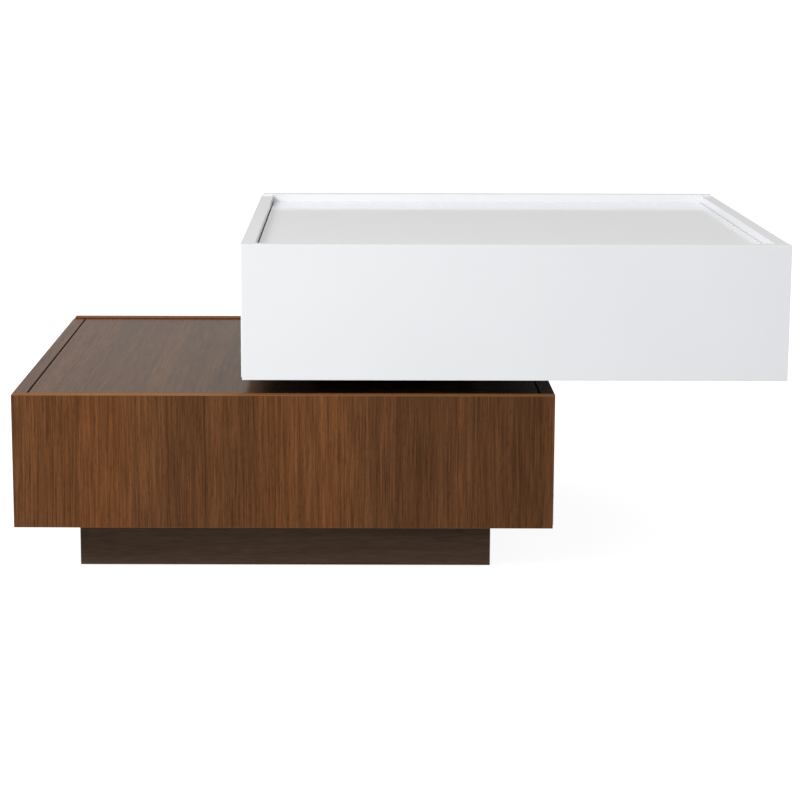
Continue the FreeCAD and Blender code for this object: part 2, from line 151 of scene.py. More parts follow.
@dataclass(frozen=True)
class Wood(Finish):
    """Wood with its figure drawn out along the grain.

    Broad zones carry the main tones and a slow drift warms some of them. Streaks and fibres run over them as
    thin straight lines, a few dark lines mark the growth rings, short dark dashes are the pores, and the
    fibres raise the surface a little.

    Attributes:
        grain: The axis that the grain follows.
        dark: The deep tone of the zones.
        light: Their bright tone.
        warm: The tone that the slow drift leads to.
        line: The colour of the dark lines.
        zone_mm: Width of the zones.
        drift_mm: Width of the drift.
        streak_mm: Width of the streaks.
        fibre_mm: Width of the fibres.
        pore_mm: Width of the pores, drawn about five times too wide so that they show.
        line_mm: Spacing of the dark lines.
        stretch: Length of the broad marks over their width.
        fibre_stretch: Length of the fibres over their width.
        pore_stretch: Length of the pores over their width.
        sway_mm: How far the grain wanders to the side.
        zone_shift_m: Picks the stretch of the endless pattern that the zones show.
        drift_shift_m: Picks the one that the drift shows.
        streak_depth: How much the streaks lighten and darken the wood.
        fibre_depth: How much the fibres do so.
        pore_depth: How much the pores darken it.
        line_depth: How strongly the dark lines show.
        tone: Brightness of the whole sheet; the top panel's darker sheet uses it to paint shade.
        roughness: The surface's mean roughness.
        roughness_swing: The share by which the fibres change it.
        gloss: The shader's specular level.
        relief_mm: Height of the fibres.
    """

    # The grain wanders in waves of this width and length.
    SWAY_WIDTH_MM: ClassVar[float] = 180.0
    SWAY_LENGTH_MM: ClassVar[float] = 450.0
    # The noise behind the waves swings by about a quarter to each side, so four of it make the whole way.
    SWAY_GAIN: ClassVar[float] = 4.0
    # Shifts that set these layers apart from the others.
    STREAK_SHIFT_M: ClassVar[float] = 3.1
    FIBRE_SHIFT_M: ClassVar[float] = 5.3
    LINE_SHIFT_M: ClassVar[float] = 7.9
    PORE_SHIFT_M: ClassVar[float] = 11.3
    # Levels of a layer's noise between which its tone comes in.
    ZONE_RANGE: ClassVar[tuple[float, float]] = (0.33, 0.67)
    DRIFT_RANGE: ClassVar[tuple[float, float]] = (0.42, 0.7)
    PORE_RANGE: ClassVar[tuple[float, float]] = (0.5, 0.68)
    # How far from its middle the noise of the dark lines still draws a line.
    LINE_REACH: ClassVar[float] = 0.01
    RELIEF_STRENGTH: ClassVar[float] = 0.4

    grain: Axis
    dark: str
    light: str
    warm: str
    line: str
    zone_mm: float = 48.0
    drift_mm: float = 130.0
    streak_mm: float = 5.0
    fibre_mm: float = 1.6
    pore_mm: float = 1.2
    line_mm: float = 55.0
    stretch: float = 110.0
    fibre_stretch: float = 45.0
    pore_stretch: float = 9.0
    sway_mm: float = 3.0
    zone_shift_m: float = 0.0
    drift_shift_m: float = 1.7
    streak_depth: float = 0.16
    fibre_depth: float = 0.3
    pore_depth: float = 0.22
    line_depth: float = 0.5
    tone: float = 1.0
    roughness: float = 0.24
    roughness_swing: float = 0.2
    gloss: float = 0.06
    relief_mm: float = 0.008

    def along(self, across: float, lengthways: float) -> tuple[float, float, float]:
        """Gives a value for each of the three axes, with another one along the grain.

        Args:
            across: The value across the grain.
            lengthways: The value along it.

        Returns:
            The three values.
        """
        values = [across, across, across]
        values[self.grain.value] = lengthways
        return values[0], values[1], values[2]

    def figure(self, tree: bpy.types.NodeTree, place: bpy.types.NodeSocket, width_mm: float, stretch: float,
               detail: float, offset: float) -> bpy.types.NodeSocket:
        """Adds one layer of the figure.

        Args:
            tree: The material's node tree.
            place: Coordinates that follow the grain.
            width_mm: Width of the layer's marks.
            stretch: Their length over their width.
            detail: How many finer marks they hold.
            offset: A shift in metres that sets the layer apart from the others.

        Returns:
            The layer's output, about 0.3 to 0.7.
        """
        moved = add_node(tree, "ShaderNodeMapping", None,
                         {"Vector": place, "Location": (offset, offset, offset),
                          "Scale": self.along(1.0, 1 / stretch)})
        marks = add_node(tree, "ShaderNodeTexNoise", None,
                         {"Vector": moved.outputs[0], "Scale": 1 / (width_mm * MM), "Detail": detail})
        return marks.outputs[0]

    def paint(self, tree: bpy.types.NodeTree, shader: bpy.types.Node) -> None:
        """Adds the figure, the fibres and their relief.

        Args:
            tree: The material's node tree.
            shader: Its Principled shader.
        """
        place = add_node(tree, "ShaderNodeTexCoord").outputs["Object"]
        waves = self.along(1 / (self.SWAY_WIDTH_MM * MM), 1 / (self.SWAY_LENGTH_MM * MM))
        slow = add_node(tree, "ShaderNodeMapping", None, {"Vector": place, "Scale": waves})
        sway = add_node(tree, "ShaderNodeTexNoise", None,
                        {"Vector": slow.outputs[0], "Scale": 1.0, "Detail": 1.0})
        centred = add_node(tree, "ShaderNodeVectorMath", {"operation": "SUBTRACT"},
                           {0: sway.outputs["Color"], 1: (NOISE_MIDDLE, NOISE_MIDDLE, NOISE_MIDDLE)})
        side = add_node(tree, "ShaderNodeVectorMath", {"operation": "MULTIPLY"},
                        {0: centred.outputs[0], 1: self.along(self.SWAY_GAIN * self.sway_mm * MM, 0.0)})
        bent = add_node(tree, "ShaderNodeVectorMath", {"operation": "ADD"},
                        {0: place, 1: side.outputs[0]}).outputs[0]
        zones = self.figure(tree, bent, self.zone_mm, self.stretch, detail=2.0, offset=self.zone_shift_m)
        drift = self.figure(tree, bent, self.drift_mm, self.stretch, detail=1.0, offset=self.drift_shift_m)
        streaks = self.figure(tree, bent, self.streak_mm, self.stretch, detail=2.0,
                              offset=self.STREAK_SHIFT_M)
        fibres = self.figure(tree, bent, self.fibre_mm, self.fibre_stretch, detail=1.0,
                             offset=self.FIBRE_SHIFT_M)
        rings = self.figure(tree, bent, self.line_mm, self.stretch, detail=1.0, offset=self.LINE_SHIFT_M)
        pores = self.figure(tree, bent, self.pore_mm, self.pore_stretch, detail=1.0, offset=self.PORE_SHIFT_M)
        bright = add_node(tree, "ShaderNodeMapRange", {"interpolation_type": "SMOOTHSTEP"},
                          {"Value": zones, "From Min": self.ZONE_RANGE[0], "From Max": self.ZONE_RANGE[1]})
        warmth = add_node(tree, "ShaderNodeMapRange", {"interpolation_type": "SMOOTHSTEP"},
                          {"Value": drift, "From Min": self.DRIFT_RANGE[0], "From Max": self.DRIFT_RANGE[1]})
        away = add_node(tree, "ShaderNodeMath", {"operation": "SUBTRACT"}, {0: rings, 1: NOISE_MIDDLE})
        near = add_node(tree, "ShaderNodeMath", {"operation": "ABSOLUTE"}, {0: away.outputs[0]})
        thin = add_node(tree, "ShaderNodeMapRange", {"interpolation_type": "SMOOTHSTEP"},
                        {"Value": near.outputs[0], "From Min": 0.0, "From Max": self.LINE_REACH,
                         "To Min": self.line_depth, "To Max": 0.0})
        ground = add_node(tree, "ShaderNodeMix", {"data_type": "RGBA"},
                          {MIX_SHARE: bright.outputs[0], MIX_FIRST: srgb(self.dark),
                           MIX_SECOND: srgb(self.light)})
        warmed = add_node(tree, "ShaderNodeMix", {"data_type": "RGBA"},
                          {MIX_SHARE: warmth.outputs[0], MIX_FIRST: ground.outputs[MIX_RESULT],
                           MIX_SECOND: srgb(self.warm)})
        lined = add_node(tree, "ShaderNodeMix", {"data_type": "RGBA"},
                         {MIX_SHARE: thin.outputs[0], MIX_FIRST: warmed.outputs[MIX_RESULT],
                          MIX_SECOND: srgb(self.line)})
        broad = add_node(tree, "ShaderNodeMapRange", None,
                         {"Value": streaks, "From Min": NOISE_LOW, "From Max": NOISE_HIGH,
                          "To Min": self.tone * (1 - self.streak_depth),
                          "To Max": self.tone * (1 + self.streak_depth)})
        fine = add_node(tree, "ShaderNodeMapRange", None,
                        {"Value": fibres, "From Min": NOISE_LOW, "From Max": NOISE_HIGH,
                         "To Min": 1 - self.fibre_depth, "To Max": 1 + self.fibre_depth})
        dashes = add_node(tree, "ShaderNodeMapRange", {"interpolation_type": "SMOOTHSTEP"},
                          {"Value": pores, "From Min": self.PORE_RANGE[0], "From Max": self.PORE_RANGE[1],
                           "To Min": 1.0, "To Max": 1 - self.pore_depth})
        grained = add_node(tree, "ShaderNodeMath", {"operation": "MULTIPLY"},
                           {0: broad.outputs[0], 1: fine.outputs[0]})
        shade = add_node(tree, "ShaderNodeMath", {"operation": "MULTIPLY"},
                         {0: grained.outputs[0], 1: dashes.outputs[0]})
        colour = add_node(tree, "ShaderNodeVectorMath", {"operation": "SCALE"},
                          {0: lined.outputs[MIX_RESULT], "Scale": shade.outputs[0]})
        dull = add_node(tree, "ShaderNodeMapRange", None,
                        {"Value": fibres, "From Min": NOISE_LOW, "From Max": NOISE_HIGH,
                         "To Min": self.roughness * (1 + self.roughness_swing),
                         "To Max": self.roughness * (1 - self.roughness_swing)})
        relief = add_node(tree, "ShaderNodeBump", None,
                          {"Height": fibres, "Strength": self.RELIEF_STRENGTH,
                           "Distance": self.relief_mm * MM})
        shader.inputs["Specular IOR Level"].default_value = self.gloss
        shader.inputs["Specular Tint"].default_value = srgb(VARNISH_TINT)
        tree.links.new(colour.outputs[0], shader.inputs["Base Color"])
        tree.links.new(dull.outputs[0], shader.inputs["Roughness"])
        tree.links.new(relief.outputs[0], shader.inputs["Normal"])


@dataclass(frozen=True)
class Coat(Finish):
    """A sprayed, moulded or pressed skin of one colour with a fine texture.

    Attributes:
        colour: The main tone.
        shade: The tone that it drifts to.
        drift_mm: Size of the soft patches of the drift.
        texture_mm: Size of the texture's cells.
        texture_height_mm: Height of the texture.
        speckle: Share of the shade that the texture's cells take on.
        roughness: The surface's mean roughness.
        roughness_drift: How much the roughness changes over the patches.
    """

    # Levels of the texture's noise between which its cells take on the shade.
    SPECK_RANGE: ClassVar[tuple[float, float]] = (0.35, 0.65)
    RELIEF_STRENGTH: ClassVar[float] = 0.5

    colour: str
    shade: str
    drift_mm: float = 120.0
    texture_mm: float = 5.0
    texture_height_mm: float = 0.01
    speckle: float = 0.0
    roughness: float = 0.3
    roughness_drift: float = 0.03

    def paint(self, tree: bpy.types.NodeTree, shader: bpy.types.Node) -> None:
        """Adds the drift of tone and gloss and the texture's relief.

        Args:
            tree: The material's node tree.
            shader: Its Principled shader.
        """
        place = add_node(tree, "ShaderNodeTexCoord").outputs["Object"]
        patches = add_node(tree, "ShaderNodeTexNoise", None,
                           {"Vector": place, "Scale": 1 / (self.drift_mm * MM), "Detail": 2.0})
        cells = add_node(tree, "ShaderNodeTexNoise", None,
                         {"Vector": place, "Scale": 1 / (self.texture_mm * MM), "Detail": 2.0})
        soft = add_node(tree, "ShaderNodeMapRange", None,
                        {"Value": patches.outputs[0], "From Min": NOISE_LOW, "From Max": NOISE_HIGH})
        specks = add_node(tree, "ShaderNodeMapRange", None,
                          {"Value": cells.outputs[0], "From Min": self.SPECK_RANGE[0],
                           "From Max": self.SPECK_RANGE[1], "To Max": self.speckle})
        both = add_node(tree, "ShaderNodeMath", {"operation": "ADD", "use_clamp": True},
                        {0: soft.outputs[0], 1: specks.outputs[0]})
        colour = add_node(tree, "ShaderNodeMix", {"data_type": "RGBA"},
                          {MIX_SHARE: both.outputs[0], MIX_FIRST: srgb(self.colour),
                           MIX_SECOND: srgb(self.shade)})
        dull = add_node(tree, "ShaderNodeMapRange", None,
                        {"Value": patches.outputs[0], "From Min": NOISE_LOW, "From Max": NOISE_HIGH,
                         "To Min": self.roughness - self.roughness_drift,
                         "To Max": self.roughness + self.roughness_drift})
        relief = add_node(tree, "ShaderNodeBump", None,
                          {"Height": cells.outputs[0], "Strength": self.RELIEF_STRENGTH,
                           "Distance": self.texture_height_mm * MM})
        tree.links.new(colour.outputs[MIX_RESULT], shader.inputs["Base Color"])
        tree.links.new(dull.outputs[0], shader.inputs["Roughness"])
        tree.links.new(relief.outputs[0], shader.inputs["Normal"])


@dataclass(frozen=True)
class Metal(Finish):
    """Bare or plated steel, drawn or rolled along one axis.

    Attributes:
        drawn: The axis of the drawing lines.
        colour: The bright tone.
        shade: The tone in the lines and patches.
        line_mm: Width of the lines.
        patch_mm: Size of the plating's cloudy patches.
        roughness: The surface's mean roughness.
        roughness_swing: The share by which the lines change it.
        stretch: Length of the lines over their width.
        relief_mm: Height of the lines.
    """

    PATCH_SOFTNESS: ClassVar[float] = 0.6
    RELIEF_STRENGTH: ClassVar[float] = 0.2

    drawn: Axis
    colour: str
    shade: str
    line_mm: float = 0.9
    patch_mm: float = 14.0
    roughness: float = 0.32
    roughness_swing: float = 0.2
    stretch: float = 30.0
    relief_mm: float = 0.01

    def paint(self, tree: bpy.types.NodeTree, shader: bpy.types.Node) -> None:
        """Adds the lines, the patches and their gloss.

        Args:
            tree: The material's node tree.
            shader: Its Principled shader.
        """
        shader.inputs["Metallic"].default_value = 1.0
        place = add_node(tree, "ShaderNodeTexCoord").outputs["Object"]
        scale = [1 / (self.line_mm * MM)] * 3
        scale[self.drawn.value] /= self.stretch
        along = add_node(tree, "ShaderNodeMapping", None, {"Vector": place, "Scale": scale})
        lines = add_node(tree, "ShaderNodeTexNoise", None,
                         {"Vector": along.outputs[0], "Scale": 1.0, "Detail": 2.0})
        patches = add_node(tree, "ShaderNodeTexVoronoi", {"feature": "SMOOTH_F1"},
                           {"Vector": place, "Scale": 1 / (self.patch_mm * MM),
                            "Smoothness": self.PATCH_SOFTNESS})
        cloudy = add_node(tree, "ShaderNodeMath", {"operation": "MULTIPLY", "use_clamp": True},
                          {0: lines.outputs[0], 1: patches.outputs[0]})
        colour = add_node(tree, "ShaderNodeMix", {"data_type": "RGBA"},
                          {MIX_SHARE: cloudy.outputs[0], MIX_FIRST: srgb(self.colour),
                           MIX_SECOND: srgb(self.shade)})
        dull = add_node(tree, "ShaderNodeMapRange", None,
                        {"Value": lines.outputs[0], "From Min": NOISE_LOW, "From Max": NOISE_HIGH,
                         "To Min": self.roughness * (1 - self.roughness_swing),
                         "To Max": self.roughness * (1 + self.roughness_swing)})
        relief = add_node(tree, "ShaderNodeBump", None,
                          {"Height": lines.outputs[0], "Strength": self.RELIEF_STRENGTH,
                           "Distance": self.relief_mm * MM})
        tree.links.new(colour.outputs[MIX_RESULT], shader.inputs["Base Color"])
        tree.links.new(dull.outputs[0], shader.inputs["Roughness"])
        tree.links.new(relief.outputs[0], shader.inputs["Normal"])


def walnut(name: str, grain: Axis, **changes: float) -> Wood:
    """Gives the walnut-printed melamine of the lower box for one direction of the grain.

    Args:
        name: The material's name.
        grain: The axis that the grain follows.
        changes: Values that differ from the usual ones of wood.

    Returns:
        The finish.
    """
    return Wood(name, grain, dark="#583821", light="#684328", warm="#704527", line="#3A251C", **changes)


def dark_walnut(name: str, grain: Axis) -> Wood:
    """Gives the dark walnut melamine of the plinth for one direction of the grain.

    Args:
        name: The material's name.
        grain: The axis that the grain follows.

    Returns:
        The finish.
    """
    return Wood(name, grain, dark="#5A473A", light="#685243", warm="#675142", line="#3A2C22",
                zone_mm=26.0, streak_mm=9.0, stretch=24.0, fibre_stretch=16.0, sway_mm=6.0, line_depth=0.25,
                streak_depth=0.1, fibre_depth=0.14, pore_depth=0.1, roughness=0.4)


# Walnut-printed melamine pressed with a pore texture: brown bands with bright streaks under a satin skin that
# greys at low angles.
# The shifts put the lighter and warmer zones of the front about where the photograph has them.
WALNUT_UPRIGHT = walnut("walnut_melamine_upright_grain", Axis.HEIGHT, zone_shift_m=140.13,
                        drift_shift_m=73.871, roughness=0.42)
# The top panel and the sides' edges get this sheet at tone 0.72, darker than the front's: painted shade on
# the faces that look up.
WALNUT_DEEP_PAINTED_SHADE = walnut("walnut_melamine_front_to_back_grain", Axis.DEPTH, tone=0.72, streak_depth=0.22,
                     fibre_depth=0.22, line_depth=0.4, roughness_swing=0.06, gloss=0.04,
                     relief_mm=0.0003)
# ABS edge band in a paler walnut: a thin warm line along the board's edge, duller than the face.
WALNUT_BAND = Wood("walnut_abs_edge_band", Axis.LENGTH, dark="#825835", light="#916540", warm="#895F3B",
                   line="#7A4E2D", line_depth=0.2, streak_depth=0.1, fibre_depth=0.08, pore_depth=0.08,
                   roughness=0.7, gloss=0.05)
# Dark walnut melamine: nearly black-brown with a faint lying figure.
PLINTH_LONG = dark_walnut("dark_walnut_melamine_long_grain", Axis.LENGTH)
PLINTH_DEEP = dark_walnut("dark_walnut_melamine_front_to_back_grain", Axis.DEPTH)
# Sprayed white lacquer: a smooth even coat with a trace of orange peel and a soft mirror at low angles.
LACQUER = Coat("white_gloss_lacquer", "#F0F2F3", "#EEF0F1", drift_mm=180.0, texture_mm=6.0,
               texture_height_mm=0.003, roughness=0.08, roughness_drift=0.02)
# Pale melamine of the drawer boxes: matt, with a fine pressed pearl texture and faint flecks.
DRAWER_MELAMINE = Coat("pale_grey_melamine", "#C2BEB6", "#B6B2AA", drift_mm=60.0, texture_mm=1.4,
                       texture_height_mm=0.02, speckle=0.4, roughness=0.5)
# Pale ABS band on the drawer boxes' edges: a little whiter and smoother than their melamine.
DRAWER_BAND = Coat("pale_grey_abs_edge_band", "#C9C6BF", "#C2BFB8", drift_mm=90.0, texture_mm=2.0,
                   texture_height_mm=0.008, speckle=0.2, roughness=0.38)
# Lacquered fibreboard of the drawer bottoms: matt off-white with tiny fibres showing.
DRAWER_FIBREBOARD = Coat("lacquered_fibreboard", "#C6C1B9", "#BBB6AD", drift_mm=240.0, texture_mm=2.2,
                         texture_height_mm=0.02, speckle=0.7, roughness=0.6)
# Black-stained fibreboard: dull black with a slightly paler fibre. On the lower top panel's edges and the
# upper box's underside its black is painted shade in the slots and in the gap between the boxes.
STAINED_BOARD_AND_PAINTED_SHADE = Coat("black_stained_fibreboard", "#1B1A1A", "#262423", drift_mm=30.0, texture_mm=1.2,
                     texture_height_mm=0.03, speckle=0.5, roughness=0.7)
# Powder-coated steel: deep black with a fine pebbled gloss.
POWDER_COAT = Coat("black_powder_coated_steel", "#161617", "#1D1D1E", drift_mm=50.0, texture_mm=1.6,
                   texture_height_mm=0.03, speckle=0.3, roughness=0.45)
# Injection-moulded nylon: black, evenly dull from the mould's spark-eroded face.
NYLON = Coat("black_moulded_nylon", "#303032", "#29292B", drift_mm=20.0, texture_mm=0.9,
             texture_height_mm=0.02, speckle=0.4, roughness=0.5)
# Soft clear polyurethane bumpers: milky and dull against the board behind them.
BUMPER = Coat("clear_polyurethane", "#C9C9C6", "#BDBDB9", drift_mm=5.0, texture_mm=0.8,
              texture_height_mm=0.01, speckle=0.3, roughness=0.35)
# Roll-formed zinc-plated steel: bluish grey with long drawing lines and cloudy patches.
RUNNER_ZINC = Metal("zinc_plated_rolled_steel", Axis.DEPTH, "#C9CBCD", "#A4A7AA")
# Cold-headed zinc-plated screws: bright, with short turning marks.
SCREW_ZINC = Metal("zinc_plated_screw_steel", Axis.HEIGHT, "#CFD0D0", "#A9ABAC", line_mm=0.5, patch_mm=5.0,
                   roughness=0.28)
# Ground and polished bearing balls: a near mirror with faint scratches.
BALL_STEEL = Metal("polished_bearing_steel", Axis.LENGTH, "#DADADB", "#BFC0C2", line_mm=0.3, patch_mm=9.0,
                   roughness=0.1)
# Planed pine: pale yellow wood with wide soft bands and darker late wood.
PINE = Wood("planed_pine", Axis.DEPTH, dark="#BC8E59", light="#D6B17C", warm="#CDA36C", line="#A5743F",
            zone_mm=16.0, streak_mm=6.0, line_mm=9.0, stretch=30.0, streak_depth=0.1, fibre_depth=0.1,
            pore_depth=0.0, roughness=0.6)
# Beech dowel rod: pinkish tan with short dark flecks.
BEECH = Wood("beech_dowel_rod", Axis.LENGTH, dark="#B4875F", light="#CDA57B", warm="#C79B70", line="#8F6541",
             zone_mm=9.0, streak_mm=2.5, line_mm=3.0, stretch=12.0, sway_mm=0.5, streak_depth=0.1,
             fibre_depth=0.1, roughness=0.6)


# Pieces

def settle(piece: bpy.types.Object, node: str, body: str) -> None:
    """Puts a finished piece in the place of a CAD node.

    Args:
        piece: The piece.
        node: The node that it stands for.
        body: The body that it rides on.
    """
    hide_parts(node)
    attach(piece, body)
    LOG.info("%s rides on %s", piece.name, body)


def start_block(name: str, low: Vector, high: Vector) -> bpy.types.Object:
    """Adds a block between two corners as a start for a piece, selected and active.

    Args:
        name: The block's name.
        low: Its lowest corner.
        high: Its highest corner.

    Returns:
        The block, with its place in its mesh.
    """
    bpy.ops.object.select_all(action="DESELECT")
    bpy.ops.mesh.primitive_cube_add(size=1.0, location=(low + high) / 2, scale=high - low)
    bpy.ops.object.transform_apply(location=True, rotation=True, scale=True)
    block = bpy.context.active_object
    block.name = name
    return block


def smooth(piece: bpy.types.Object) -> None:
    """Shades a piece so that its flats stay flat and its roundings look round.

    Args:
        piece: The piece, in object mode.
    """
    bpy.ops.object.select_all(action="DESELECT")
    piece.select_set(True)
    bpy.context.view_layer.objects.active = piece
    bpy.ops.object.shade_smooth()
    bpy.ops.object.modifier_add(type="WEIGHTED_NORMAL")
    bpy.ops.object.modifier_apply(modifier=piece.modifiers[-1].name)


def dress_nodes(finish: Finish, *nodes: str) -> None:
    """Gives CAD nodes that stay in sight a better material.

    Args:
        finish: The finish.
        nodes: The nodes' names.
    """
    for node in nodes:
        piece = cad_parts[node]
        for place in piece.material_slots:
            place.material = finish.material()
        LOG.info("%s is finished in %s", node, finish.name)


@dataclass
class Board:
    """A panel with banded, rounded edges that stands for one board of the CAD model.

    Attributes:
        node: The CAD node that it stands for.
        body: The body that it rides on.
        slot: The record's material slot; not used.
        face: The finish of its two large faces.
        edge: The finish of its edge bands.
        round_mm: Radius of the rounded edges.
        tongue: The node of a sheet that the board holds in a groove, or nothing.
        play_mm: The groove's room round that sheet.
        round_steps: Number of faces across a rounded edge.
    """

    node: str
    body: str
    slot: str
    face: Finish
    edge: Finish
    round_mm: float = 1.0
    tongue: str = ""
    play_mm: float = 0.3
    round_steps: int = 3

    def build(self) -> bpy.types.Object:
        """Models the panel at the CAD board's place.

        Returns:
            The finished piece.
        """
        low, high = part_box(self.node)
        piece = start_block(self.node + "_board", low, high)
        bpy.ops.object.mode_set(mode="EDIT")
        bpy.ops.mesh.select_all(action="SELECT")
        bpy.ops.mesh.bevel(offset=self.round_mm * MM, segments=self.round_steps, affect="EDGES")
        bpy.ops.object.mode_set(mode="OBJECT")
        if self.tongue:
            self.groove(piece)
        self.dress(piece, high - low)
        settle(piece, self.node, self.body)
        return piece

    def groove(self, piece: bpy.types.Object) -> None:
        """Cuts the groove for the sheet.

        Args:
            piece: The panel, in object mode.
        """
        low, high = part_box(self.tongue)
        room = Vector((1.0, 1.0, 1.0)) * self.play_mm * MM
        # The sheet lies on the lower wall of its groove.
        cutter = start_block("groove_cutter", low - room * Vector((1, 1, 0)), high + room)
        bpy.context.view_layer.objects.active = piece
        bpy.ops.object.modifier_add(type="BOOLEAN")
        cut = piece.modifiers[-1]
        cut.operation = "DIFFERENCE"
        cut.solver = "EXACT"
        cut.object = cutter
        bpy.ops.object.modifier_apply(modifier=cut.name)
        # The cutter alone is selected.
        bpy.ops.object.delete()

    def dress(self, piece: bpy.types.Object, size: Vector) -> None:
        """Puts the face finish on the large faces and the edge finish on the rest, and smooths the rounding.

        Args:
            piece: The panel, in object mode.
            size: Its size along the three axes.
        """
        thin = min(range(3), key=lambda i: size[i])
        piece.data.materials.append(self.face.material())
        piece.data.materials.append(self.edge.material())
        for polygon in piece.data.polygons:
            polygon.material_index = 0 if abs(polygon.normal[thin]) > SQUARE_NORMAL else 1
        smooth(piece)


@dataclass
class Ring:
    """A turned disc with a bore and a rounded rim, about the swivel's axis.

    Attributes:
        node: The CAD node that it stands for.
        body: The body that it rides on.
        slot: The record's material slot; not used.
        finish: Its finish.
        bore_mm: Radius of its bore.
        round_mm: Radius of its rounded rim.
        steps: Number of faces round it.
        rim_steps: Number of faces across the rounded rim.
    """

    node: str
    body: str
    slot: str
    finish: Finish
    bore_mm: float
    round_mm: float
    steps: int = 128
    rim_steps: int = 4

    def build(self) -> bpy.types.Object:
        """Turns the disc from its half section.

        Returns:
            The finished piece.
        """
        low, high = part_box(self.node)
        bore = self.bore_mm * MM
        bpy.ops.object.select_all(action="DESELECT")
        bpy.ops.mesh.primitive_plane_add(size=1.0, rotation=(math.pi / 2, 0.0, 0.0),
                                         location=((bore + high.x) / 2, 0.0, (low.z + high.z) / 2))
        piece = bpy.context.active_object
        piece.name = self.node + "_disc"
        piece.scale = (high.x - bore, high.z - low.z, 1.0)
        bpy.ops.object.transform_apply(location=True, rotation=True, scale=True)
        bpy.context.tool_settings.mesh_select_mode = (True, False, False)
        bpy.ops.object.mode_set(mode="EDIT")
        bpy.ops.mesh.select_all(action="DESELECT")
        bpy.ops.object.mode_set(mode="OBJECT")
        for point in piece.data.vertices:
            point.select = point.co.x > bore + (high.x - bore) / 2
        bpy.ops.object.mode_set(mode="EDIT")
        bpy.ops.mesh.bevel(offset=self.round_mm * MM, segments=self.rim_steps, affect="VERTICES")
        bpy.ops.mesh.select_all(action="SELECT")
        bpy.ops.mesh.delete(type="ONLY_FACE")
        bpy.ops.mesh.select_all(action="SELECT")
        bpy.ops.mesh.spin(steps=self.steps, angle=2 * math.pi, center=(0.0, 0.0, 0.0), axis=(0.0, 0.0, 1.0))
        bpy.ops.mesh.select_all(action="SELECT")
        bpy.ops.mesh.remove_doubles(threshold=MERGE_MM * MM)
        bpy.ops.mesh.normals_make_consistent(inside=False)
        bpy.ops.object.mode_set(mode="OBJECT")
        piece.data.materials.append(self.finish.material())
        smooth(piece)
        settle(piece, self.node, self.body)
        return piece


# Sub-assemblies

@dataclass
class Plinth:
    """The set-back frame under the lower box, on its glides.

    Attributes:
        body: The body that it belongs to.
        slot: The record's material slot of its boards.
        edge_round_mm: Radius of the boards' edges.
    """

    body: str = "base"
    slot: str = "dark_walnut_laminate"
    edge_round_mm: float = 0.8

    def build(self) -> None:
        """Models the four boards and finishes what holds them."""
        for side, finish in (("front", PLINTH_LONG), ("rear", PLINTH_LONG), ("left", PLINTH_DEEP),
                             ("right", PLINTH_DEEP)):
            Board("plinth_" + side, self.body, self.slot, finish, finish, self.edge_round_mm).build()
        dress_nodes(PINE, "plinth_corner_blocks")
        dress_nodes(SCREW_ZINC, "plinth_screws")
        dress_nodes(NYLON, "floor_glides")


@dataclass
class BoxCarcass:
    """The fixed boards of the lower or the upper box.

    Attributes:
        level: The box's name, "lower" or "upper".
        body: The body that it belongs to.
        slot: The record's material slot of its boards.
        upright: The finish of the rear panel and the sides.
        top: The finish of the top panel and the sides' edges.
        slot_edge: The finish of the top panel's edges, which face the slots beside it; the black of the lower
            box's edges is painted shade in those slots.
        band: The finish of the rear panel's edges.
        edge_round_mm: Radius of the edges of the sides and the rear panel.
        top_round_mm: Radius of the top panel's edges.
    """

    level: str
    body: str
    slot: str
    upright: Finish
    top: Finish
    slot_edge: Finish
    band: Finish
    edge_round_mm: float = 0.6
    top_round_mm: float = 0.3

    def build(self) -> None:
        """Models the boards in sight and finishes what is inside."""
        for side in ("left", "right"):
            Board(f"{self.level}_{side}_side", self.body, self.slot, self.upright, self.top,
                  self.edge_round_mm).build()
        Board(f"{self.level}_rear_panel", self.body, self.slot, self.upright, self.band,
              self.edge_round_mm).build()
        Board(f"{self.level}_top_panel", self.body, self.slot, self.top, self.slot_edge,
              self.top_round_mm).build()
        # The bottom panels are black; under the upper box the black underside is painted shade in the gap
        # between the boxes.
        dress_nodes(STAINED_BOARD_AND_PAINTED_SHADE, f"{self.level}_bottom_panel")
        dress_nodes(PINE, f"{self.level}_top_cleats")
        dress_nodes(BEECH, f"{self.level}_dowels")
        dress_nodes(SCREW_ZINC, f"{self.level}_carcass_screws")
        dress_nodes(RUNNER_ZINC, f"{self.level}_runner_outer_members")


@dataclass
class Drawer:
    """A drawer with its overlaid front and the moving members of its runners.

    Attributes:
        level: The box's name, "lower" or "upper".
        slot: The record's material slot of the front.
        face: The finish of the front.
        band: The finish of the front's edges.
        front_round_mm: Radius of the front's edges.
        board_round_mm: Radius of the edges of the drawer box's boards.
        groove_play_mm: Room round the bottom in its grooves.
    """

    level: str
    slot: str
    face: Finish
    band: Finish
    front_round_mm: float = 0.5
    board_round_mm: float = 0.6
    groove_play_mm: float = 0.3

    def build(self) -> None:
        """Models the front and the grooved boards, and finishes what joins and carries them."""
        name = f"{self.level}_drawer"
        Board(f"{name}_front", name, self.slot, self.face, self.band, self.front_round_mm).build()
        for part in ("inner_front", "left_side", "right_side", "back"):
            Board(f"{name}_{part}", name, "drawer_board", DRAWER_MELAMINE, DRAWER_BAND, self.board_round_mm,
                  f"{name}_bottom", self.groove_play_mm).build()
        dress_nodes(DRAWER_FIBREBOARD, f"{name}_bottom")
        dress_nodes(BEECH, f"{name}_dowels")
        dress_nodes(SCREW_ZINC, f"{name}_screws")
        dress_nodes(BUMPER, f"{name}_bumpers")
        dress_nodes(RUNNER_ZINC, f"{self.level}_runner_inner_members", f"{self.level}_runner_middle_members")


